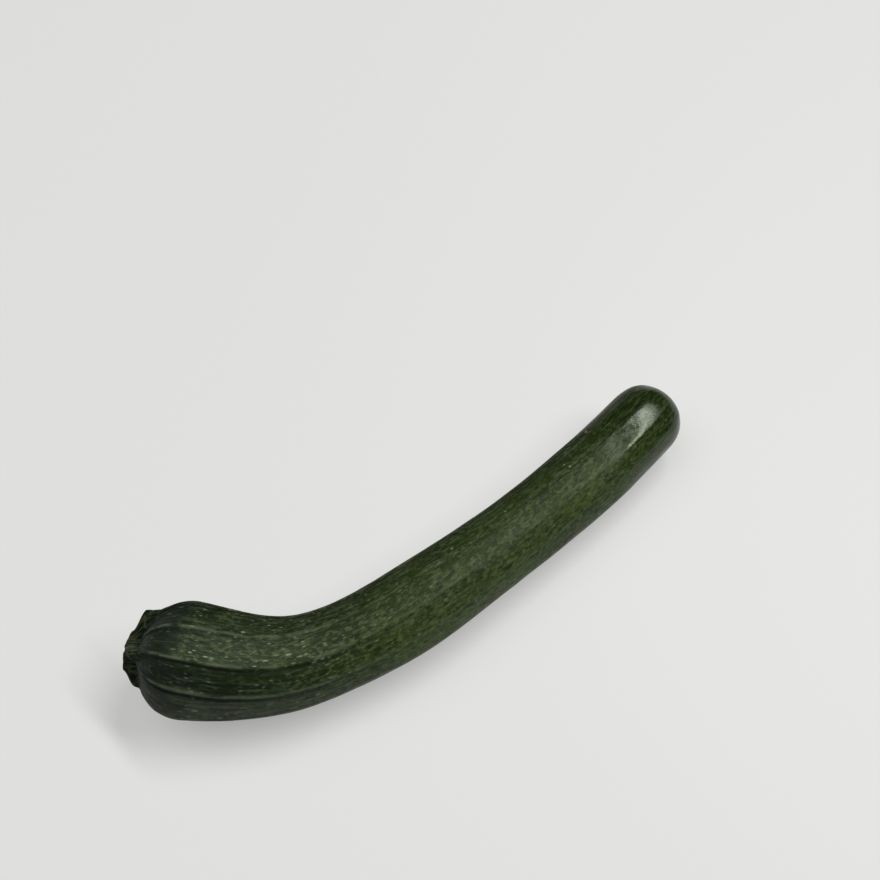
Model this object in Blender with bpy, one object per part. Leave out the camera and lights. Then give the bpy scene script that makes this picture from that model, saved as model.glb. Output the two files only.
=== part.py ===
"""A long, bent courgette with its stalk stub, lying on its side on a flat surface.

Metres, +Z up. +X runs from the cut stalk to the blossom end, and the origin is
the middle of the footprint, on the surface that the courgette lies on.
"""
import bmesh
import bpy
import numpy as np

MM = 0.001

# Centre line seen from above, from the cut of the stalk to the blossom end:
# along X, across Y, and the radius of the fruit round that point.
STATIONS = np.array((
    (-130.2, 29.6, 23.5),
    (-120.7, 21.5, 24.0),
    (-108.0, 10.0, 24.0),
    (-94.0, -1.0, 22.2),
    (-78.0, -10.0, 20.0),
    (-60.0, -15.0, 18.6),
    (-25.0, -18.0, 19.0),
    (15.0, -16.0, 18.0),
    (55.0, -12.0, 17.5),
    (100.0, -4.5, 17.9),
    (139.5, 4.8, 17.6),
)) * MM

# Ten ribs run the whole length. Round the section, angles start at the top
# and grow towards -Y.
RIB_COUNT = 10
RIB_ANGLE = np.radians(22.0)
RIB_CROWDING = np.radians(5.0)
RIB_CROWDED_SIDE = np.radians(94.0)
RIB_CREST = 0.25
RIB_AT_STALK = 0.034
RIB_AT_BLOSSOM = 0.010
RIB_FADES_OVER = 75 * MM
MAIN_RIB_SHARE = 0.35

# Rounded ends of the fruit
SHOULDER_END = 29 * MM
SHOULDER_LENGTH = 23 * MM
SHOULDER_POWER = 2.05
CAP_LENGTH = 18 * MM
CAP_POWER = 2.4

# Stub of the stalk: five ribs that flare to a star where they meet the fruit
STALK_RADIUS = 7.2 * MM
STALK_FLARE = 7.9 * MM
STALK_FLARE_START = 0.3 * MM
STALK_FLARE_LENGTH = 6.4 * MM
STALK_UNEVEN = 0.30
STALK_STRONG_SIDE = np.radians(-73.0)
STALK_STAR = 1.5
STALK_RIB = 0.10
STALK_SMALL_RIB = 0.08
STALK_TWIST = np.radians(10.0)
STALK_RIM = 0.8 * MM
STALK_LENGTH = 11.0 * MM
STALK_SINK = 160.0
STALK_JOIN = 2.8 * MM
CUT_DISH = 0.5 * MM

# Scar of the blossom
SCAR_RADIUS = 4.5 * MM
SCAR_DISH = 0.7 * MM

# Slow swell and oval of the fruit, as parts of its radius
SWELL = 0.006
OVAL = 0.012

# Low spots that the fruit lies on, as distances along the centre line
LOW_SPOTS = (40 * MM, 118 * MM, 240 * MM)
LOW_SPOT_LENGTH = 16 * MM
PRESSED = 0.5 * MM
CLEARANCE = 0.6 * MM

# Mesh
AROUND = 60
ALONG = 64
CUT_RINGS = 3
SCAR_RINGS = 2
RING_CROWDING = 0.8

SKIN = (0.030, 0.052, 0.013, 1.0)
SKIN_ROUGHNESS = 0.36


def spline(knots, values, at):
    """Natural cubic spline through the values at the knots."""
    step = np.diff(knots)
    slope = np.diff(values) / step
    matrix = np.eye(len(knots))
    right = np.zeros(len(knots))
    for i in range(1, len(knots) - 1):
        matrix[i, i - 1:i + 2] = step[i - 1], 2 * (step[i - 1] + step[i]), step[i]
        right[i] = 6 * (slope[i] - slope[i - 1])
    bend = np.linalg.solve(matrix, right)
    k = np.clip(np.searchsorted(knots, at) - 1, 0, len(step) - 1)
    before = at - knots[k]
    after = knots[k + 1] - at
    h = step[k]
    return (bend[k] * after**3 + bend[k + 1] * before**3) / (6 * h) \
        + (values[k] / h - bend[k] * h / 6) * after \
        + (values[k + 1] / h - bend[k + 1] * h / 6) * before


def smooth_max(a, b, width):
    """The larger of two values, with the corner between them rounded."""
    return (a + b + np.sqrt((a - b)**2 + width**2)) / 2


class CentreLine:
    """Smooth curve through the stations, measured along its own length."""

    def __init__(self):
        x, y, radius = STATIONS.T
        knots = np.concatenate(([0], np.cumsum(np.hypot(np.diff(x), np.diff(y)))))
        fine = np.linspace(0, knots[-1], 1200)
        self.x = spline(knots, x, fine)
        self.y = spline(knots, y, fine)
        self.radius = spline(knots, radius, fine)
        runs = np.hypot(np.diff(self.x), np.diff(self.y))
        self.along = np.concatenate(([0], np.cumsum(runs)))
        self.length = self.along[-1]
        self.heading = np.arctan2(np.gradient(self.y), np.gradient(self.x))

    def at(self, s):
        """Place, heading and fruit radius at distance s from the cut."""
        return [np.interp(s, self.along, v) for v in (self.x, self.y, self.heading, self.radius)]


def ribs(angle):
    """Relief of the ribs round the section, from -0.5 in a furrow to 0.5 on a crest."""
    crowding = RIB_CROWDING * (np.sin(angle - RIB_CROWDED_SIDE) + 0.95)
    turned = angle - RIB_ANGLE + crowding
    wave = np.hypot(np.sin(RIB_COUNT / 2 * turned), RIB_CREST) - RIB_CREST
    crest = 0.5 - wave / (np.hypot(1, RIB_CREST) - RIB_CREST)
    main = np.cos(RIB_COUNT / 2 * turned)
    return crest, main


def fruit_radius(line, s, angle, girth):
    """Radius of the fruit without its stalk."""
    reach = (1 - (SCAR_RADIUS / line.radius[-1])**CAP_POWER)**(1 / CAP_POWER)
    cap = np.clip((s - line.length + CAP_LENGTH) / CAP_LENGTH, 0, 1) * reach
    shoulder = np.clip((SHOULDER_END - s) / SHOULDER_LENGTH, 0, 1)
    ends = (1 - cap**CAP_POWER)**(1 / CAP_POWER)
    ends = ends * (1 - shoulder**SHOULDER_POWER)**(1 / SHOULDER_POWER)
    crest, main = ribs(angle)
    height = RIB_AT_BLOSSOM + (RIB_AT_STALK - RIB_AT_BLOSSOM) * np.exp(-(s / RIB_FADES_OVER)**2)
    swell = SWELL * np.sin(s / (21 * MM) + 2 * angle) + OVAL * np.cos(2 * angle + 0.6)
    return girth * ends * (1 + height * (crest + MAIN_RIB_SHARE * main) + swell * ends)


def stalk_radius(s, angle):
    """Radius of the stub: a ribbed rod whose five ribs flare into a star over the shoulder."""
    part = np.clip((s - STALK_FLARE_START) / STALK_FLARE_LENGTH, 0, 1)
    crest, main = ribs(angle + STALK_TWIST * (1 - part))
    uneven = 1 + STALK_UNEVEN * np.cos(angle - STALK_STRONG_SIDE)
    flare = STALK_FLARE * part**2 * (3 - 2 * part) * (0.5 + 0.5 * main)**STALK_STAR * uneven
    rim = STALK_RIM * (1 - np.sqrt(1 - (1 - np.clip(s / STALK_RIM, 0, 1))**2))
    sunk = STALK_SINK * np.clip(s - STALK_LENGTH, 0, None)**2
    rod = STALK_RADIUS * (1 + STALK_RIB * main + STALK_SMALL_RIB * crest)
    return rod + flare - rim - sunk


def radius(line, s, angle, girth):
    fruit = fruit_radius(line, s, angle, girth)
    stalk = np.clip(stalk_radius(s, angle), -20 * MM, None)
    return np.where(s < 1.6 * SHOULDER_END, smooth_max(fruit, stalk, STALK_JOIN), fruit)


def centre_height(s, girth):
    """Height of the centre line: the fruit is pressed flat at the low spots and clear between them."""
    lifted = 1 - sum(np.exp(-((s - spot) / LOW_SPOT_LENGTH)**2) for spot in LOW_SPOTS)
    return girth - PRESSED + CLEARANCE * np.clip(lifted, 0, 1)


def ring_places(ring):
    """Distance along the centre line and share of the local radius for each ring number."""
    cut = np.clip(ring / CUT_RINGS, 0, 1)
    scar = np.clip((ALONG - ring) / SCAR_RINGS, 0, 1)
    part = np.clip((ring - CUT_RINGS) / (ALONG - CUT_RINGS - SCAR_RINGS), 0, 1)
    part = part - RING_CROWDING * np.sin(2 * np.pi * part) / (2 * np.pi)
    dish = CUT_DISH * (1 - cut**2) - SCAR_DISH * (1 - scar**2)
    return part, cut * scar, dish


def surface(ring, angle):
    """Points of the skin for ring numbers and angles round the section."""
    line = CentreLine()
    part, share, dish = ring_places(ring)
    s = part * line.length
    x, y, heading, girth = line.at(s)
    across = radius(line, s, angle, girth) * share
    side = across * np.sin(angle)
    up = centre_height(s, girth) + across * np.cos(angle)
    points = np.stack((
        x + side * np.sin(heading) + dish * np.cos(heading),
        y - side * np.cos(heading) + dish * np.sin(heading),
        np.clip(up, 0, None),
    ), axis=-1)
    middle = (points.reshape(-1, 3).max(0) + points.reshape(-1, 3).min(0)) / 2
    return points - (middle[0], middle[1], 0)


def clear_scene():
    for thing in list(bpy.data.objects):
        bpy.data.objects.remove(thing, do_unlink=True)


def skin_material():
    material = bpy.data.materials.new("courgette_skin")
    material.use_nodes = True
    shader = material.node_tree.nodes["Principled BSDF"]
    shader.inputs["Base Color"].default_value = SKIN
    shader.inputs["Roughness"].default_value = SKIN_ROUGHNESS
    shader.inputs["Metallic"].default_value = 0.0
    return material


def build_courgette(collection):
    """A ball whose rings are laid along the centre line, from the cut to the blossom scar."""
    ball = bmesh.new()
    bmesh.ops.create_uvsphere(ball, u_segments=AROUND, v_segments=ALONG, radius=1)
    where = np.array([v.co for v in ball.verts])
    polar = np.arccos(np.clip(where[:, 2], -1, 1))
    ring = np.round(ALONG * polar / np.pi)
    angle = RIB_ANGLE - np.arctan2(where[:, 1], where[:, 0])
    for vert, place in zip(ball.verts, surface(ring, angle)):
        vert.co = place
    bmesh.ops.recalc_face_normals(ball, faces=ball.faces)
    mesh = bpy.data.meshes.new("courgette")
    ball.to_mesh(mesh)
    ball.free()
    mesh.shade_smooth()
    mesh.materials.append(skin_material())
    thing = bpy.data.objects.new("courgette", mesh)
    collection.objects.link(thing)
    return thing


def main():
    clear_scene()
    parts = bpy.data.collections.new("courgette")
    bpy.context.scene.collection.children.link(parts)
    build_courgette(parts)


main()
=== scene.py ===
"""A courgette lying alone on a pale table, dressed over its solid."""
from types import SimpleNamespace

import bpy
import numpy as np
from mathutils import Euler, Matrix, Vector


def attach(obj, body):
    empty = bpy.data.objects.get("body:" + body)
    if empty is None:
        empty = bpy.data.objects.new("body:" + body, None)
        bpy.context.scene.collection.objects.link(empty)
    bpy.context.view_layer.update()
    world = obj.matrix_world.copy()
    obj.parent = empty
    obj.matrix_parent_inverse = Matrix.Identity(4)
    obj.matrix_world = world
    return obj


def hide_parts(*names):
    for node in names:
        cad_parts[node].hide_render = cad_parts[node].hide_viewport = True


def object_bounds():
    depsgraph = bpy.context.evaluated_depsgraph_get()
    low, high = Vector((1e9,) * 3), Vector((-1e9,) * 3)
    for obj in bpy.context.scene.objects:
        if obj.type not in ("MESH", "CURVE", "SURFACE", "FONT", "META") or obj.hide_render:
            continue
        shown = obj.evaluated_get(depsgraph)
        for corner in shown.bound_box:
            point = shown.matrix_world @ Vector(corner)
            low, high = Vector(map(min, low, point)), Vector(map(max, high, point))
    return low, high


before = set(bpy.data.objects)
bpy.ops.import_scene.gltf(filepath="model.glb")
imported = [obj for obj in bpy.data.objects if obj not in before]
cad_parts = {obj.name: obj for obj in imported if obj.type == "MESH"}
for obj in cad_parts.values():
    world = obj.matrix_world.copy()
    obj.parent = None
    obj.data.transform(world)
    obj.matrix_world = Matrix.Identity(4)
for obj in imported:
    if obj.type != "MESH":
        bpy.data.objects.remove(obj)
cad_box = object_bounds()

MM = 0.001
CM = 0.01

# The form, with the dimensions of the solid, apart from the join of the stalk,
# the notch and the lean. Angles round the section start at the top and grow
# towards -Y, and s is the distance along the centre line from the cut.

# Centre line seen from above: along X, across Y, and the radius of the fruit
STATIONS = np.array((
    (-130.2, 29.6, 23.5),
    (-120.7, 21.5, 24.0),
    (-108.0, 10.0, 24.0),
    (-94.0, -1.0, 22.2),
    (-78.0, -10.0, 20.0),
    (-60.0, -15.0, 18.6),
    (-25.0, -18.0, 19.0),
    (15.0, -16.0, 18.0),
    (55.0, -12.0, 17.5),
    (100.0, -4.5, 17.9),
    (139.5, 4.8, 17.6),
)) * MM

# Ten ribs run the whole length
RIB_COUNT = 10
RIB_ANGLE = np.radians(22.0)
RIB_CROWDING = np.radians(5.0)
RIB_CROWDED_SIDE = np.radians(94.0)
RIB_CREST = 0.25
RIB_AT_STALK = 0.034
RIB_AT_BLOSSOM = 0.010
RIB_FADES_OVER = 75 * MM
MAIN_RIB_SHARE = 0.35

# Rounded ends of the fruit
SHOULDER_END = 29 * MM
SHOULDER_LENGTH = 23 * MM
SHOULDER_POWER = 2.05
CAP_LENGTH = 18 * MM
CAP_POWER = 2.4

# Stub of the stalk: five ribs that flare to a star where they meet the fruit
STALK_RADIUS = 7.2 * MM
STALK_FLARE = 7.9 * MM
STALK_FLARE_START = 0.3 * MM
STALK_FLARE_LENGTH = 6.4 * MM
STALK_UNEVEN = 0.30
STALK_STRONG_SIDE = np.radians(-73.0)
STALK_LENGTH = 11.0 * MM
STALK_STAR = 1.5
STALK_RIB = 0.10
STALK_SMALL_RIB = 0.08
STALK_TWIST = np.radians(10.0)
STALK_RIM = 0.8 * MM
STALK_SINK = 160.0
STALK_JOIN = 3.6 * MM
STALK_REACH = 46.4 * MM
CUT_DISH = 0.5 * MM

# Notch in the rim of the cut, on the side seen from above
NOTCH_ANGLE = np.radians(13.0)
NOTCH_WIDTH = np.radians(9.0)
NOTCH_DEPTH = 0.9 * MM
NOTCH_LENGTH = 3 * MM

# Scar of the blossom
SCAR_RADIUS = 4.5 * MM
SCAR_DISH = 0.7 * MM

# Slow swell and oval of the fruit, as parts of its radius
SWELL = 0.006
SWELL_LENGTH = 21 * MM
OVAL = 0.012

# Low spots that the fruit lies on
LOW_SPOTS = (40 * MM, 118 * MM, 240 * MM)
LOW_SPOT_LENGTH = 16 * MM
PRESSED = 0.5 * MM
CLEARANCE = 0.6 * MM

# Where the stub's colour takes over from the skin's, by how far the stub stands
# out of the fruit, and the width of the painted shade in the crease between them
STALK_COLOUR_FROM = -2.2 * MM
STALK_COLOUR_TO = 1.2 * MM
STALK_CREASE_SHADE_WIDTH = 1.6 * MM

# The fine relief starts this far from the cut and from the blossom end
CALM_AT_CUT = 2.5 * MM
CALM_AT_BLOSSOM = 6 * MM

# Fine mesh
AROUND = 230
ALONG = 430
CUT_RINGS = 16
SCAR_RINGS = 12
RING_CROWDING = 0.5

# Radius of the straight cylinder that the skin's pattern is laid out on
PATTERN_RADIUS = 19 * MM

# Near the stalk, the ribs on the side that is seen lean up towards the top
LEAN = np.radians(14.0)
LEAN_MIDDLE = np.radians(45.0)
LEAN_REACH = np.radians(60.0)
LEAN_FADES_OVER = 44 * MM


def spline(knots, values, at):
    """Natural cubic spline through the values at the knots."""
    step = np.diff(knots)
    slope = np.diff(values) / step
    matrix = np.eye(len(knots))
    right = np.zeros(len(knots))
    for i in range(1, len(knots) - 1):
        matrix[i, i - 1:i + 2] = step[i - 1], 2 * (step[i - 1] + step[i]), step[i]
        right[i] = 6 * (slope[i] - slope[i - 1])
    bend = np.linalg.solve(matrix, right)
    k = np.clip(np.searchsorted(knots, at) - 1, 0, len(step) - 1)
    before = at - knots[k]
    after = knots[k + 1] - at
    h = step[k]
    return (bend[k] * after**3 + bend[k + 1] * before**3) / (6 * h) \
        + (values[k] / h - bend[k] * h / 6) * after \
        + (values[k + 1] / h - bend[k + 1] * h / 6) * before


def smooth_step(low, high, value):
    """Nought at low, one at high and smooth between them; low may be the larger."""
    t = np.clip((value - low) / (high - low), 0, 1)
    return t * t * (3 - 2 * t)


def smooth_max(a, b, width):
    """The larger of two values, with the corner between them rounded."""
    return (a + b + np.sqrt((a - b)**2 + width**2)) / 2


class CentreLine:
    """Smooth curve through the stations, measured along its own length."""

    def __init__(self):
        x, y, radius = STATIONS.T
        knots = np.concatenate(([0], np.cumsum(np.hypot(np.diff(x), np.diff(y)))))
        fine = np.linspace(0, knots[-1], 1200)
        self.x = spline(knots, x, fine)
        self.y = spline(knots, y, fine)
        self.radius = spline(knots, radius, fine)
        runs = np.hypot(np.diff(self.x), np.diff(self.y))
        self.along = np.concatenate(([0], np.cumsum(runs)))
        self.length = self.along[-1]
        self.heading = np.arctan2(np.gradient(self.y), np.gradient(self.x))

    def at(self, s):
        """Place, heading and fruit radius at distance s from the cut."""
        return [np.interp(s, self.along, v) for v in (self.x, self.y, self.heading, self.radius)]


LINE = CentreLine()


def from_first_rib(angle):
    """Angle from the first rib, with the ribs crowded together on one side."""
    return angle - RIB_ANGLE + RIB_CROWDING * (np.sin(angle - RIB_CROWDED_SIDE) + 0.95)


def ribs(angle):
    """Relief round the section: the ten ribs, and a wave that lifts every other one of them."""
    turned = from_first_rib(angle)
    wave = np.hypot(np.sin(RIB_COUNT / 2 * turned), RIB_CREST) - RIB_CREST
    crest = 0.5 - wave / (np.hypot(1, RIB_CREST) - RIB_CREST)
    main = np.cos(RIB_COUNT / 2 * turned)
    return crest, main


def fruit_radius(s, angle, girth):
    """Radius of the fruit without its stalk."""
    reach = (1 - (SCAR_RADIUS / LINE.radius[-1])**CAP_POWER)**(1 / CAP_POWER)
    cap = np.clip((s - LINE.length + CAP_LENGTH) / CAP_LENGTH, 0, 1) * reach
    shoulder = np.clip((SHOULDER_END - s) / SHOULDER_LENGTH, 0, 1)
    ends = (1 - cap**CAP_POWER)**(1 / CAP_POWER)
    ends = ends * (1 - shoulder**SHOULDER_POWER)**(1 / SHOULDER_POWER)
    crest, main = ribs(angle)
    height = RIB_AT_BLOSSOM + (RIB_AT_STALK - RIB_AT_BLOSSOM) * np.exp(-(s / RIB_FADES_OVER)**2)
    swell = SWELL * np.sin(s / SWELL_LENGTH + 2 * angle) + OVAL * np.cos(2 * angle + 0.6)
    return girth * ends * (1 + height * (crest + MAIN_RIB_SHARE * main) + swell * ends)


def stalk_radius(s, angle):
    """Radius of the stub: a ribbed rod whose five ribs flare into a star over the shoulder."""
    part = np.clip((s - STALK_FLARE_START) / STALK_FLARE_LENGTH, 0, 1)
    crest, main = ribs(angle + STALK_TWIST * (1 - part))
    uneven = 1 + STALK_UNEVEN * np.cos(angle - STALK_STRONG_SIDE)
    flare = STALK_FLARE * part**2 * (3 - 2 * part) * (0.5 + 0.5 * main)**STALK_STAR * uneven
    rim = STALK_RIM * (1 - np.sqrt(1 - (1 - np.clip(s / STALK_RIM, 0, 1))**2))
    sunk = STALK_SINK * np.clip(s - STALK_LENGTH, 0, None)**2
    rod = STALK_RADIUS * (1 + STALK_RIB * main + STALK_SMALL_RIB * crest)
    return rod + flare - rim - sunk


def centre_height(s, girth):
    """Height of the centre line: the fruit is pressed flat at the low spots and clear between them."""
    lifted = 1 - sum(np.exp(-((s - spot) / LOW_SPOT_LENGTH)**2) for spot in LOW_SPOTS)
    return girth - PRESSED + CLEARANCE * np.clip(lifted, 0, 1)


# Seeded noise for the fine relief

LARGEST_HASH = 0xFFFFFF


def hashed(cells, seed):
    """A repeatable number from -1 to 1 for each whole-numbered cell."""
    x, y, z = [c.astype(np.int64) for c in cells]
    h = (x * 73856093) ^ (y * 19349663) ^ (z * 83492791) ^ (seed * 2654435761)
    h = (h ^ (h >> 13)) * 1274126177 & 0xFFFFFFFF
    h = (h ^ (h >> 16)) & LARGEST_HASH
    return h / float(LARGEST_HASH) * 2 - 1


def noise(points, size, seed):
    """Smooth noise from -1 to 1 with lumps of the given size, which may differ by axis."""
    p = points / np.asarray(size)
    low = np.floor(p)
    t = p - low
    t = t * t * t * (t * (6 * t - 15) + 10)
    total = 0
    for corner in np.ndindex(2, 2, 2):
        weight = np.prod([t[..., i] if c else 1 - t[..., i] for i, c in enumerate(corner)], axis=0)
        total = total + weight * hashed([low[..., i] + c for i, c in enumerate(corner)], seed)
    return total


def fractal(points, size, seed, octaves=3):
    """Noise with finer and weaker noise added to it."""
    size = np.asarray(size, float)
    return sum(noise(points, size / 2**k, seed + 17 * k) / 2**k for k in range(octaves))


def skin_run(s):
    """Distance along the skin from the cut, over the shoulder and round the cap."""
    fine = np.linspace(0, LINE.length, 3000)
    girth = np.interp(fine, LINE.along, LINE.radius)
    mean = np.mean([fruit_radius(fine, turn, girth) for turn in np.arange(12) * np.pi / 6], axis=0)
    mean = np.maximum(mean, STALK_RADIUS)
    run = np.concatenate(([0], np.cumsum(np.hypot(np.diff(fine), np.diff(mean)))))
    return np.interp(s, fine, run)


def pattern_place(s, angle):
    """Where a point of the skin lies once the fruit is straightened to a cylinder."""
    return np.stack((skin_run(s), PATTERN_RADIUS * np.cos(angle), PATTERN_RADIUS * np.sin(angle)), axis=-1)


def leaning(s, angle):
    """The angle at which the ribs and the pattern of a point are looked up."""
    away = np.angle(np.exp(1j * (angle - LEAN_MIDDLE)))
    share = 0.5 + 0.5 * np.cos(np.pi * np.clip(away / LEAN_REACH, -1, 1))
    return angle + LEAN * share * np.exp(-(s / LEAN_FADES_OVER)**2)


def beside_crest(angle, girth):
    """Signed distance round the section from the nearest rib line, and how close that line is.

    The second value is one near the line and nought half way to the next one.
    """
    half = np.pi / RIB_COUNT
    turned = (from_first_rib(angle) + half) % (2 * half) - half
    return girth * turned, smooth_step(0.9, 0.6, np.abs(turned) / half)


def skin_relief(s, lay, stalk, beside, close):
    """Fine unevenness of the skin, in metres outwards."""
    body = 1 - stalk
    wander = 0.5 * MM * noise(lay, (16 * MM, 9 * MM, 9 * MM), 61)
    line = np.exp(-((beside + wander) / (0.8 * MM))**2)
    groove = np.exp(-((beside + wander - 1.7 * MM) / (0.9 * MM))**2)
    fade = 0.55 * MM * np.exp(-(s / (60 * MM))**2) + 0.08 * MM * np.exp(-(s / (160 * MM))**2)
    lines = fade * (line - groove) * close
    lumps = 0.16 * MM * fractal(lay, (34 * MM, 13 * MM, 13 * MM), 3)
    ripple = 0.045 * MM * fractal(lay, (7 * MM, 3 * MM, 3 * MM), 11)
    near_stalk = np.exp(-(s / (80 * MM))**2)
    veins = noise(lay, (40 * MM, 1.7 * MM, 1.7 * MM), 23)
    veins = veins + 0.6 * noise(lay, (22 * MM, 0.9 * MM, 0.9 * MM), 29)
    striped = veins * MM * (0.035 + 0.11 * near_stalk)
    dents = 0.10 * MM * fractal(lay, (15 * MM, 8 * MM, 8 * MM), 71, 2)
    dents = dents * smooth_step(120 * MM, 200 * MM, s)
    return body * (lumps + ripple + striped + lines + dents)


def stalk_relief(lay, stalk):
    """Strings and warts of the stub, in metres outwards."""
    strings = noise(lay, (9 * MM, 1.6 * MM, 1.6 * MM), 41)
    warts = fractal(lay, (3.2 * MM, 2.4 * MM, 2.4 * MM), 47, 2)
    return stalk * MM * (0.24 * strings + 0.13 * warts)


def ring_places(ring):
    """For each ring number: the part of the length, and the shares of the radius in the cut and the scar."""
    cut = np.clip(ring / CUT_RINGS, 0, 1)
    scar = np.clip((ALONG - ring) / SCAR_RINGS, 0, 1)
    part = np.clip((ring - CUT_RINGS) / (ALONG - CUT_RINGS - SCAR_RINGS), 0, 1)
    part = part - RING_CROWDING * np.sin(2 * np.pi * part) / (2 * np.pi)
    return part, cut, scar


def cut_dish(share, angle):
    """Depth of the cut face below its rim: a shallow dish round a small star of strings."""
    star = 0.5 + 0.5 * ribs(angle)[1]
    pit = np.exp(-(share / 0.16)**2) * 0.9
    ring = np.exp(-((share - 0.62) / 0.1)**2) * (0.25 + 0.35 * star)
    return CUT_DISH * ((1 - share**2) + pit - ring)


def scar_dish(share, angle):
    """Depth of the blossom scar below the skin: a sunken ring round a low button."""
    button = np.exp(-(share / 0.3)**2)
    lip = np.exp(-((share - 0.88) / 0.1)**2)
    wobble = 1 + 0.25 * np.sin(5 * angle + 1.1)
    return SCAR_DISH * (smooth_step(1.0, 0.6, share) - 0.7 * button - 0.35 * lip * wobble)


def notch(s, share, angle):
    """Depth of the notch in the rim of the cut."""
    turn = np.angle(np.exp(1j * (angle - NOTCH_ANGLE)))
    deep = NOTCH_DEPTH * np.exp(-(turn / NOTCH_WIDTH)**2)
    return deep * smooth_step(0.4, 1, share) * smooth_step(NOTCH_LENGTH, 0, s)


def surface(ring, angle):
    """Points of the skin, with the pattern's place, the masks of its regions and the rib lines."""
    part, cut, scar = ring_places(ring)
    s = part * LINE.length
    x, y, heading, girth = LINE.at(s)
    drawn = leaning(s, angle)
    lay = pattern_place(s, drawn)
    fruit = fruit_radius(s, drawn, girth)
    stub = np.clip(stalk_radius(s, angle), -20 * MM, None)
    near = s < STALK_REACH
    plain = np.where(near, smooth_max(fruit, stub, STALK_JOIN), fruit)
    stalk = np.where(near, smooth_step(STALK_COLOUR_FROM, STALK_COLOUR_TO, stub - fruit), 0.0)
    calm = smooth_step(0, CALM_AT_CUT, s) * smooth_step(0, CALM_AT_BLOSSOM, LINE.length - s)
    beside, close = beside_crest(drawn, girth)
    relief = calm * (skin_relief(s, lay, stalk, beside, close) + stalk_relief(lay, stalk))
    # Mask of the painted shade in the crease round the stub
    groove = np.where(near, np.exp(-((stub - fruit) / STALK_CREASE_SHADE_WIDTH)**2), 0.0)
    across = (plain + relief) * cut * scar
    dish = cut_dish(cut, angle) * (cut < 1) - scar_dish(scar, angle) * (scar < 1)
    dish = dish + notch(s, cut, angle)
    side = across * np.sin(angle)
    up = centre_height(s, girth) + across * np.cos(angle)
    points = np.stack((
        x + side * np.sin(heading) + dish * np.cos(heading),
        y - side * np.cos(heading) + dish * np.sin(heading),
        np.clip(up, 0, None),
    ), axis=-1)
    masks = np.stack((stalk, 1 - cut, 1 - scar), axis=-1)
    lines = np.stack((beside / MM, groove, close), axis=-1)
    return points, lay, masks, lines


def fitted(points):
    """The points brought to the solid's own box, which the fine relief leaves by a hair."""
    low, high = [np.array(corner) for corner in cad_box]
    share = (points - points.min(0)) / (points.max(0) - points.min(0))
    return low + share * (high - low)


def ring_grid():
    """Ring numbers and angles of every vertex: a pole, the rings, a pole."""
    rings = np.repeat(np.arange(1, ALONG), AROUND)
    turns = RIB_ANGLE + np.tile(np.arange(AROUND) * 2 * np.pi / AROUND, ALONG - 1)
    ring = np.concatenate(([0], rings, [ALONG])).astype(float)
    angle = np.concatenate(([RIB_ANGLE], turns, [RIB_ANGLE]))
    return ring, angle


def grid_faces():
    """Quads between the rings and a fan at each pole, facing outwards."""
    faces = []
    last = 1 + (ALONG - 1) * AROUND
    for k in range(AROUND):
        n = (k + 1) % AROUND
        faces.append((0, 1 + k, 1 + n))
        faces.append((last, last - AROUND + n, last - AROUND + k))
    for r in range(ALONG - 2):
        a = 1 + r * AROUND
        b = a + AROUND
        faces.extend((a + (k + 1) % AROUND, a + k, b + k, b + (k + 1) % AROUND) for k in range(AROUND))
    return faces


def add_attribute(mesh, name, values):
    """Three numbers for each vertex, for the material to read."""
    layer = mesh.attributes.new(name, "FLOAT_VECTOR", "POINT")
    layer.data.foreach_set("vector", np.ascontiguousarray(values, np.float32).ravel())


def add_bake_map(mesh, ring, angle):
    """Texture map: distance along the fruit by turn round it, split at one long seam."""
    layer = mesh.uv_layers.new(name="OFBake")
    corner = np.zeros(len(mesh.loops), np.int32)
    mesh.loops.foreach_get("vertex_index", corner)
    turn = (angle - RIB_ANGLE) / (2 * np.pi)
    u, v = turn[corner], ring[corner] / ALONG
    start = 0
    uv = np.stack((u, v), axis=-1)
    for face in mesh.polygons:
        span = slice(start, start + face.loop_total)
        start += face.loop_total
        turns = uv[span, 0]
        pole = (corner[span] == 0) | (corner[span] == len(ring) - 1)
        if turns[~pole].max() - turns[~pole].min() > 0.5:
            turns[turns < 0.5] += 1
        turns[pole] = turns[~pole].mean()
    uv = uv * 0.98 + 0.01
    layer.data.foreach_set("uv", np.clip(uv, 0, 1).astype(np.float32).ravel())


def build_fruit():
    """The whole fruit with its stalk stub, as one closed skin."""
    ring, angle = ring_grid()
    points, lay, masks, lines = surface(ring, angle)
    mesh = bpy.data.meshes.new("courgette_fruit")
    mesh.from_pydata(fitted(points).tolist(), [], grid_faces())
    mesh.update()
    add_attribute(mesh, "lay", lay / CM)
    add_attribute(mesh, "masks", masks)
    add_attribute(mesh, "lines", lines)
    add_bake_map(mesh, ring, angle)
    mesh.shade_smooth()
    fruit = bpy.data.objects.new("courgette_fruit", mesh)
    bpy.context.scene.collection.objects.link(fruit)
    return fruit


# Materials
#
# The skin reads three attributes of the mesh. lay is the place on the
# straightened fruit, in centimetres: along the skin, up, and towards -Y.
# masks are the stub, the cut face and the scar. lines are the distance from
# the nearest rib line in millimetres, the crease round the stub where shade
# is painted, and how close the rib line is.

SKIN_IOR = 1.42
SKIN_SPECULAR = 0.28
FLANK_SPECULAR = 0.10
SKIN_TINT = (0.85, 0.97, 0.78, 1)
BUMP_STRENGTH = 0.28
BUMP_DISTANCE = 0.4 * MM

TABLE_COLOUR = (0.42, 0.42, 0.415, 1)
TABLE_ROUGHNESS = 0.55
TABLE_GLOW_COLOUR = (1.0, 1.0, 0.99, 1)
TABLE_GLOW = 0.35


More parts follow.
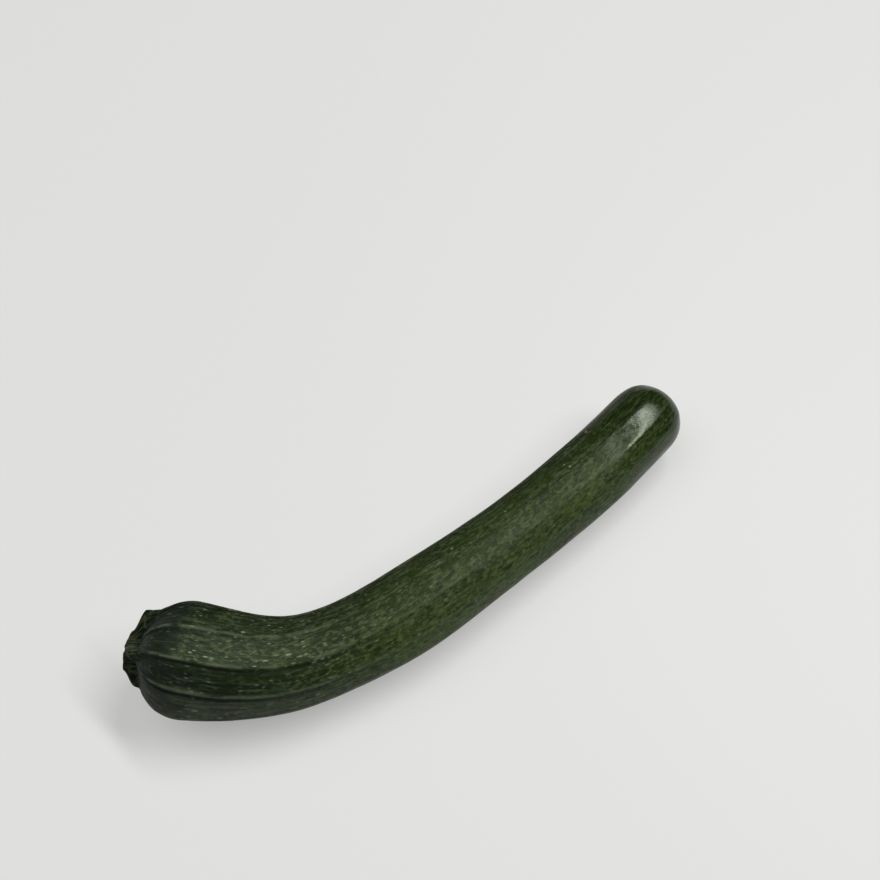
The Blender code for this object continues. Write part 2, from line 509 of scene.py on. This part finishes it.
class Nodes:
    """Short calls for building a node tree."""

    def __init__(self, tree):
        self.tree = tree

    def add(self, kind, inputs=(), **settings):
        node = self.tree.nodes.new("ShaderNode" + kind)
        for name, value in settings.items():
            setattr(node, name, value)
        for key, value in dict(inputs).items():
            self.feed(node.inputs[key], value)
        return node

    def feed(self, socket, value):
        if isinstance(value, bpy.types.NodeSocket):
            self.tree.links.new(value, socket)
        else:
            socket.default_value = value

    def attribute(self, name):
        return self.add("Attribute", attribute_name=name).outputs["Vector"]

    def split(self, vector):
        return self.add("SeparateXYZ", {0: vector}).outputs

    def math(self, operation, a, b=0.0, c=0.0, clamp=False):
        node = self.add("Math", {0: a, 1: b, 2: c}, operation=operation, use_clamp=clamp)
        return node.outputs[0]

    def scaled(self, vector, by, shift=(0, 0, 0)):
        node = self.add("VectorMath", {0: vector, 1: by, 2: shift}, operation="MULTIPLY_ADD")
        return node.outputs[0]

    def noise(self, vector, scale, detail=2.0, roughness=0.5, spread=0.0):
        inputs = {"Vector": vector, "Scale": scale, "Detail": detail}
        inputs.update({"Roughness": roughness, "Distortion": spread})
        return self.add("TexNoise", inputs).outputs[0]

    def cells(self, vector, scale):
        node = self.add("TexVoronoi", {"Vector": vector, "Scale": scale, "Randomness": 1.0})
        return node.outputs["Distance"], self.split(node.outputs["Color"])

    def ramp(self, value, low, high, to_low=0.0, to_high=1.0):
        inputs = {"Value": value, "From Min": low, "From Max": high, "To Min": to_low, "To Max": to_high}
        return self.add("MapRange", inputs, interpolation_type="SMOOTHSTEP").outputs[0]

    def product(self, a, b):
        return self.math("MULTIPLY", a, b)

    def bell(self, value, middle, width):
        """One at the middle, falling smoothly to nothing at the width on both sides."""
        away = self.math("ABSOLUTE", self.math("SUBTRACT", value, middle))
        return self.ramp(away, width, 0.0)

    def mix(self, factor, a, b):
        node = self.add("Mix", data_type="RGBA")
        self.feed(node.inputs[0], factor)
        for index, value in ((6, a), (7, b)):
            self.feed(node.inputs[index], value)
        return node.outputs[2]


def colour(red, green, blue):
    """A colour given as seen on screen, 0 to 255, turned into light."""
    c = np.array((red, green, blue)) / 255
    c = np.where(c <= 0.04045, c / 12.92, ((c + 0.055) / 1.055)**2.4)
    return (*[float(v) for v in c], 1.0)


def flecks(n, lay, cell, stretch, share, soft, largest=0.46):
    """Pale flecks: one cell pattern, stretched along the fruit, with random size and strength."""
    place = n.scaled(lay, (1 / stretch, 1, 1))
    distance, random = n.cells(place, 1 / cell)
    size = n.ramp(random[0], 1 - share, 1.0, 0.0, largest)
    edge = n.math("SUBTRACT", size, distance)
    spot = n.ramp(edge, -soft, soft)
    strength = n.ramp(random[1], 0.0, 1.0, 0.35, 1.0)
    shown = n.math("GREATER_THAN", random[0], 1 - share)
    return n.product(n.product(spot, strength), shown)


def upper_flank(n, lay):
    """One on the part of the far side that is seen from above, which is duller and gets a painted shade in
    its colour.
    """
    _, top, side = n.split(lay)
    return n.product(n.ramp(side, -0.6, -1.4), n.ramp(top, -0.2, 0.8))


def regions(n, lay):
    """The place of a point, and masks that fade in over parts of the fruit."""
    s, _, side = n.split(lay)
    stem = n.ramp(s, 11.0, 3.5)
    return SimpleNamespace(
        s=s,
        side=side,
        stem=stem,
        lower=n.ramp(side, -1.2, 0.9),
        shaded=n.product(n.ramp(side, 0.55, 0.95), stem),
        by_stalk=n.ramp(s, 4.5, 2.7),
    )


def ground_colour(n, lay, at):
    """Green skin, olive on the upper side, dark and bluish towards the stalk, with painted shade on the
    panel that faces down near the stalk and on the upper flank, and painted light from the table below the
    second rib near the stalk.
    """
    blotch = n.ramp(n.noise(n.scaled(lay, (0.35, 1, 1)), 0.8, 3.0, 0.55), 0.3, 0.7)
    green = n.mix(blotch, colour(43, 60, 21), colour(59, 76, 30))
    olive = n.mix(blotch, colour(26, 38, 0), colour(35, 48, 0))
    # Below the first rib near the stalk the panel faces down, and its darker colour there is painted shade.
    dark = n.mix(n.ramp(at.side, 0.5, 0.9), colour(41, 51, 34), colour(19, 26, 19))
    dark = n.mix(n.ramp(at.side, 0.0, -0.8), dark, colour(28, 38, 17))
    base = n.mix(n.ramp(at.side, 0.9, -0.3), green, olive)
    base = n.mix(n.product(at.stem, 0.9), base, dark)
    base = n.mix(n.ramp(at.s, 22.0, 28.0, 0.0, 0.65), base, colour(23, 36, 10))
    base = n.mix(n.product(n.bell(at.s, 8.5, 4.5), 0.6), base, colour(27, 39, 14))
    # Painted shade: a dark band on the downward-facing panel just above the second rib, near the stalk.
    painted_shade_by_rib = n.product(n.bell(at.side, 1.35, 0.25), n.product(at.stem, 0.6))
    base = n.mix(painted_shade_by_rib, base, colour(11, 16, 11))
    # Painted light: the lowest side below the second rib, near the stalk, is lightened as if lit by the pale
    # table.
    painted_table_light = n.product(n.ramp(at.side, 1.5, 1.62), n.product(at.stem, 0.7))
    base = n.mix(painted_table_light, base, colour(64, 73, 56))
    brown = n.ramp(n.noise(lay, 0.9, 2.0), 0.5, 0.72)
    brown = n.product(brown, n.ramp(at.side, 0.2, 0.9, 0.0, 0.35))
    base = n.mix(brown, base, colour(45, 42, 26))
    upper = n.product(n.bell(at.s, 9.0, 5.0), n.ramp(at.side, -0.1, -0.7))
    base = n.mix(n.product(upper, 0.6), base, colour(22, 31, 3))
    # Painted shade on the upper flank, which darkens the far edge seen from above.
    base = n.mix(n.product(upper_flank(n, lay), 0.5), base, colour(14, 20, 0))
    return n.mix(n.product(at.by_stalk, 0.85), base, colour(15, 21, 16))


def mottled(n, base, lay, at):
    """Long pale and dark streaks, dark smudges and a broken net of paler green."""
    streak = n.noise(n.scaled(lay, (0.10, 1, 1)), 10.0, 2.0, 0.6)
    light = n.product(n.ramp(streak, 0.5, 0.66), n.ramp(at.by_stalk, 0.0, 1.0, 0.3, 0.15))
    base = n.mix(light, base, colour(92, 104, 80))
    deep = n.product(n.ramp(streak, 0.48, 0.34), n.ramp(at.stem, 0.0, 1.0, 0.2, 0.6))
    base = n.mix(deep, base, colour(15, 22, 14))
    smudge = n.noise(n.scaled(lay, (0.45, 1, 1), (3.1, 0, 0)), 6.8, 3.0, 0.6)
    smudge = n.product(n.ramp(smudge, 0.47, 0.64), n.ramp(at.stem, 0.0, 1.0, 0.72, 0.6))
    smudge = n.product(smudge, n.ramp(at.lower, 0.1, 0.6, 0.55, 1.0))
    base = n.mix(smudge, base, colour(17, 26, 11))
    net = n.noise(n.scaled(lay, (0.5, 1, 1), (8.2, 4.0, 0)), 7.2, 3.0, 0.58, 0.5)
    net = n.product(n.ramp(net, 0.5, 0.62), n.ramp(at.lower, 0.0, 1.0, 0.25, 0.5))
    net = n.product(net, n.ramp(at.shaded, 0.0, 1.0, 1.0, 0.2))
    net = n.product(net, n.ramp(at.by_stalk, 0.0, 1.0, 1.0, 0.15))
    net = n.product(net, n.ramp(at.s, 24.0, 27.5, 1.0, 0.4))
    base = n.mix(net, base, colour(88, 104, 62))
    return n.mix(n.ramp(at.s, 28.0, 29.4, 0.0, 0.75), base, colour(30, 43, 17))


def fleck_density(n, lay, at):
    """Share of the flecks' strength that is left at each place."""
    density = n.ramp(n.noise(lay, 1.6, 2.0), 0.35, 0.65, 0.4, 1.0)
    density = n.product(density, n.ramp(at.s, 16.0, 7.0, 0.5, 1.0))
    density = n.product(density, n.ramp(at.lower, 0.0, 0.6, 0.6, 1.0))
    density = n.product(density, n.ramp(at.shaded, 0.0, 1.0, 1.0, 0.4))
    density = n.product(density, n.ramp(at.s, 24.5, 27.0, 1.0, 0.3))
    return n.product(density, n.ramp(at.by_stalk, 0.0, 1.0, 1.0, 0.5))


def flecked(n, base, lay, at):
    """Fine dashes everywhere and a few larger dots along the body; also the dashes on their own."""
    dashes = flecks(n, lay, 0.09, 3.0, 0.55, 0.14, 0.34)
    small = flecks(n, n.scaled(lay, (1, 1, 1), (7.3, 1.9, 4.1)), 0.13, 3.3, 0.55, 0.10, 0.28)
    dots = flecks(n, n.scaled(lay, (1, 1, 1), (2.7, 5.3, 0.4)), 0.62, 1.2, 0.4, 0.02, 0.11)
    pale = n.math("MAXIMUM", n.product(dashes, 0.75), n.product(small, 0.85))
    pale = n.product(pale, fleck_density(n, lay, at))
    base = n.mix(pale, base, n.mix(at.stem, colour(128, 140, 108), colour(158, 168, 142)))
    dots = n.product(dots, n.ramp(at.stem, 0.0, 1.0, 0.8, 0.15))
    return n.mix(dots, base, colour(132, 146, 100)), pale


def skin_colour(n, lay, lines):
    """Colour of the fruit's skin, and how pale its flecks are."""
    at = regions(n, lay)
    base = mottled(n, ground_colour(n, lay, at), lay, at)
    base, pale = flecked(n, base, lay, at)
    return rib_lines(n, base, lay, lines), pale


def rib_lines(n, base, lay, lines):
    """A pale thread on each rib, partly the rib's own paler colour and partly a painted highlight, with a
    painted shadow beside it as in a crease, strongest near the stalk.
    """
    beside, _, close = lines
    s, _, side = n.split(lay)
    worn = n.ramp(n.noise(n.scaled(lay, (0.5, 1, 1)), 2.6, 3.0), 0.35, 0.6)
    wander = n.math("MULTIPLY_ADD", n.noise(n.scaled(lay, (0.6, 1, 1)), 1.5, 2.0), 1.6, -0.8)
    beside = n.math("ADD", beside, wander)
    fade = n.product(n.ramp(s, 19.0, 1.0, 0.25, 1.0), close)
    deep = n.product(n.ramp(s, 15.0, 2.0, 0.15, 1.0), close)
    upper = n.product(n.ramp(side, 0.0, -0.35), n.ramp(s, 3.5, 5.5, 0.35, 0.8))
    deep = n.product(deep, n.math("SUBTRACT", 1.0, upper))
    crest = n.product(n.bell(beside, -0.2, 1.3), n.product(worn, fade))
    crease_shadow = n.product(n.bell(beside, 1.6, 1.5), deep)
    # Painted shadow beside each rib's crest, as in a crease.
    base = n.mix(n.product(crease_shadow, 0.95), base, colour(9, 14, 8))
    # The pale thread on the crest is partly the rib's own colour and partly a painted highlight.
    return n.mix(n.product(crest, 0.6), base, colour(98, 110, 84))


def stalk_colour(n, lay):
    """Dark mottled stub, dried brown at the rim of the cut, with one pale rib end at the notch."""
    run, top, side = n.split(lay)
    strings = n.noise(n.scaled(lay, (0.3, 1, 1)), 7.0, 3.0, 0.6)
    base = n.mix(n.ramp(strings, 0.42, 0.64), colour(13, 19, 12), colour(52, 65, 43))
    dried = n.product(n.ramp(run, 0.55, 0.1), n.ramp(n.noise(lay, 4.0, 3.0), 0.4, 0.6, 0.1, 0.5))
    base = n.mix(dried, base, colour(50, 40, 27))
    rib_end = n.product(n.bell(side, 0.45, 0.28), n.ramp(top, 0.5, 1.5))
    rib_end = n.product(rib_end, n.ramp(run, 0.9, 0.15))
    base = n.mix(n.product(rib_end, 0.4), base, colour(104, 114, 88))
    specks = flecks(n, lay, 0.12, 1.6, 0.4, 0.12)
    return n.mix(n.product(specks, 0.35), base, colour(118, 128, 104))


def flesh_colour(n, lay, cut):
    """Pale flesh of the cut face, even in the middle."""
    fibre = n.noise(lay, 9.0, 3.0, 0.6)
    flesh = n.mix(n.ramp(fibre, 0.35, 0.65), colour(168, 172, 128), colour(206, 206, 170))
    return n.mix(n.ramp(cut, 0.4, 0.85), flesh, colour(192, 194, 152))


def cork_colour(n, lay, scar):
    """Brownish cork of the blossom scar, even in the middle."""
    grain = n.ramp(n.noise(lay, 14.0, 3.0), 0.4, 0.6)
    cork = n.mix(grain, colour(92, 96, 58), colour(138, 130, 92))
    return n.mix(n.ramp(scar, 0.5, 0.85), cork, colour(110, 106, 68))


def skin_roughness(n, lay, pale, stub, cut):
    """Waxy skin, glossier at the blossom end and duller at the stalk and on the upper flank."""
    s = n.split(lay)[0]
    uneven = n.noise(n.scaled(lay, (0.6, 1, 1)), 3.0, 3.0, 0.6)
    rough = n.math("ADD", n.ramp(s, 23.7, 25.6, 0.50, 0.15), n.ramp(uneven, 0.3, 0.7, -0.03, 0.06))
    rough = n.math("ADD", rough, n.ramp(s, 6.0, 2.5, 0.0, 0.15))
    for mask, more in ((pale, 0.08), (stub, 0.25), (cut, 0.5), (upper_flank(n, lay), 0.15)):
        rough = n.math("ADD", rough, n.product(mask, more), clamp=True)
    return rough


def skin_bump(n, lay, pale):
    """Fine grain with slightly raised flecks, nearly gone at the glossy end."""
    grain = n.noise(n.scaled(lay, (0.7, 1, 1)), 10.0, 3.0, 0.6)
    height = n.math("MULTIPLY_ADD", pale, 0.35, grain)
    height = n.product(height, n.ramp(n.split(lay)[0], 23.0, 25.5, 1.0, 0.22))
    inputs = {"Strength": BUMP_STRENGTH, "Distance": BUMP_DISTANCE, "Height": height}
    return n.add("Bump", inputs).outputs[0]


def skin_material():
    material = bpy.data.materials.new("courgette_skin_detail")
    material.use_nodes = True
    tree = material.node_tree
    shader = tree.nodes["Principled BSDF"]
    n = Nodes(tree)
    lay = n.attribute("lay")
    stub, cut, scar = n.split(n.attribute("masks"))
    lines = n.split(n.attribute("lines"))
    skin, pale = skin_colour(n, lay, lines)
    base = n.mix(stub, skin, stalk_colour(n, lay))
    # Painted shade in the crease where the stub meets the fruit.
    base = n.mix(n.product(lines[1], 0.2), base, colour(14, 20, 12))
    base = n.mix(n.ramp(cut, 0.02, 0.12), base, flesh_colour(n, lay, cut))
    base = n.mix(n.ramp(scar, 0.05, 0.3), base, cork_colour(n, lay, scar))
    n.feed(shader.inputs["Base Color"], base)
    n.feed(shader.inputs["Roughness"], skin_roughness(n, lay, pale, stub, cut))
    n.feed(shader.inputs["Normal"], skin_bump(n, lay, pale))
    shader.inputs["IOR"].default_value = SKIN_IOR
    drop = FLANK_SPECULAR - SKIN_SPECULAR
    specular = n.math("MULTIPLY_ADD", upper_flank(n, lay), drop, SKIN_SPECULAR)
    n.feed(shader.inputs["Specular IOR Level"], specular)
    shader.inputs["Specular Tint"].default_value = SKIN_TINT
    return material


def floor_material():
    material = bpy.data.materials.new("pale_table")
    material.use_nodes = True
    shader = material.node_tree.nodes["Principled BSDF"]
    shader.inputs["Base Color"].default_value = TABLE_COLOUR
    shader.inputs["Roughness"].default_value = TABLE_ROUGHNESS
    shader.inputs["Emission Color"].default_value = TABLE_GLOW_COLOUR
    shader.inputs["Emission Strength"].default_value = TABLE_GLOW
    return material


# Stage

# The picture's right is turned this far from +X, in degrees, and the camera
# looks down by CAMERA_DOWN degrees
TURN = 33.5
CAMERA_PLACE = (-0.0992, -0.1545, 0.419)
CAMERA_DOWN = 59.0
LENS = 40.15
SENSOR = 36.0

TABLE_REACH = 3.0
SURROUNDINGS = (0.85, 0.87, 0.9, 1)
SURROUNDINGS_STRENGTH = 0.03

# Each light: direction that it comes from and direction of its length, both in
# the picture's right, depth and up, then distance, size in metres and watts
LIT_PLACE = (0.1, 0, 0.02)
SOFTBOXES = {
    "window": ((0.498, 0.236, 0.834), (0.60, -0.65, -0.14), 4.2, (4.2, 0.44), 142),
    "ceiling": ((-0.42, 0.05, 0.90), (1, 0, 0), 3.4, (3.2, 3.2), 50),
}


def photo_direction(right, away, up):
    """A direction given by the picture's right, its depth along the table, and up."""
    turn = np.radians(TURN)
    c, s = np.cos(turn), np.sin(turn)
    return Vector((right * c + away * s, -right * s + away * c, up)).normalized()


def add_camera():
    data = bpy.data.cameras.new("camera")
    data.lens = LENS
    data.sensor_width = SENSOR
    data.sensor_fit = "HORIZONTAL"
    camera = bpy.data.objects.new("camera", data)
    camera.location = CAMERA_PLACE
    camera.rotation_euler = Euler((np.radians(90 - CAMERA_DOWN), 0, np.radians(-TURN)))
    bpy.context.scene.collection.objects.link(camera)
    bpy.context.scene.camera = camera


def add_softbox(name, direction, along, distance, size, power):
    """A rectangle of light that faces the courgette, with its length along a given direction."""
    data = bpy.data.lights.new(name, "AREA")
    data.shape = "RECTANGLE"
    data.size, data.size_y = size
    data.energy = power
    light = bpy.data.objects.new(name, data)
    way = photo_direction(*direction)
    length = photo_direction(*along)
    length = (length - way * length.dot(way)).normalized()
    light.location = Vector(LIT_PLACE) + way * distance
    light.rotation_euler = Matrix((length, way.cross(length), way)).transposed().to_euler()
    bpy.context.scene.collection.objects.link(light)


def add_floor():
    mesh = bpy.data.meshes.new("table")
    corners = ((-1, -1), (1, -1), (1, 1), (-1, 1))
    mesh.from_pydata([(x * TABLE_REACH, y * TABLE_REACH, 0) for x, y in corners], [], [(0, 1, 2, 3)])
    mesh.materials.append(floor_material())
    floor = bpy.data.objects.new("table", mesh)
    bpy.context.scene.collection.objects.link(floor)


def add_surroundings():
    world = bpy.data.worlds.new("studio")
    world.use_nodes = True
    bpy.context.scene.world = world
    background = world.node_tree.nodes["Background"]
    background.inputs["Color"].default_value = SURROUNDINGS
    background.inputs["Strength"].default_value = SURROUNDINGS_STRENGTH


def main():
    fruit = build_fruit()
    fruit.data.materials.append(skin_material())
    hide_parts("courgette")
    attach(fruit, "root")
    add_floor()
    add_camera()
    add_surroundings()
    for name, light in SOFTBOXES.items():
        add_softbox(name, *light)
    bpy.context.scene.view_settings.view_transform = "Standard"


main()
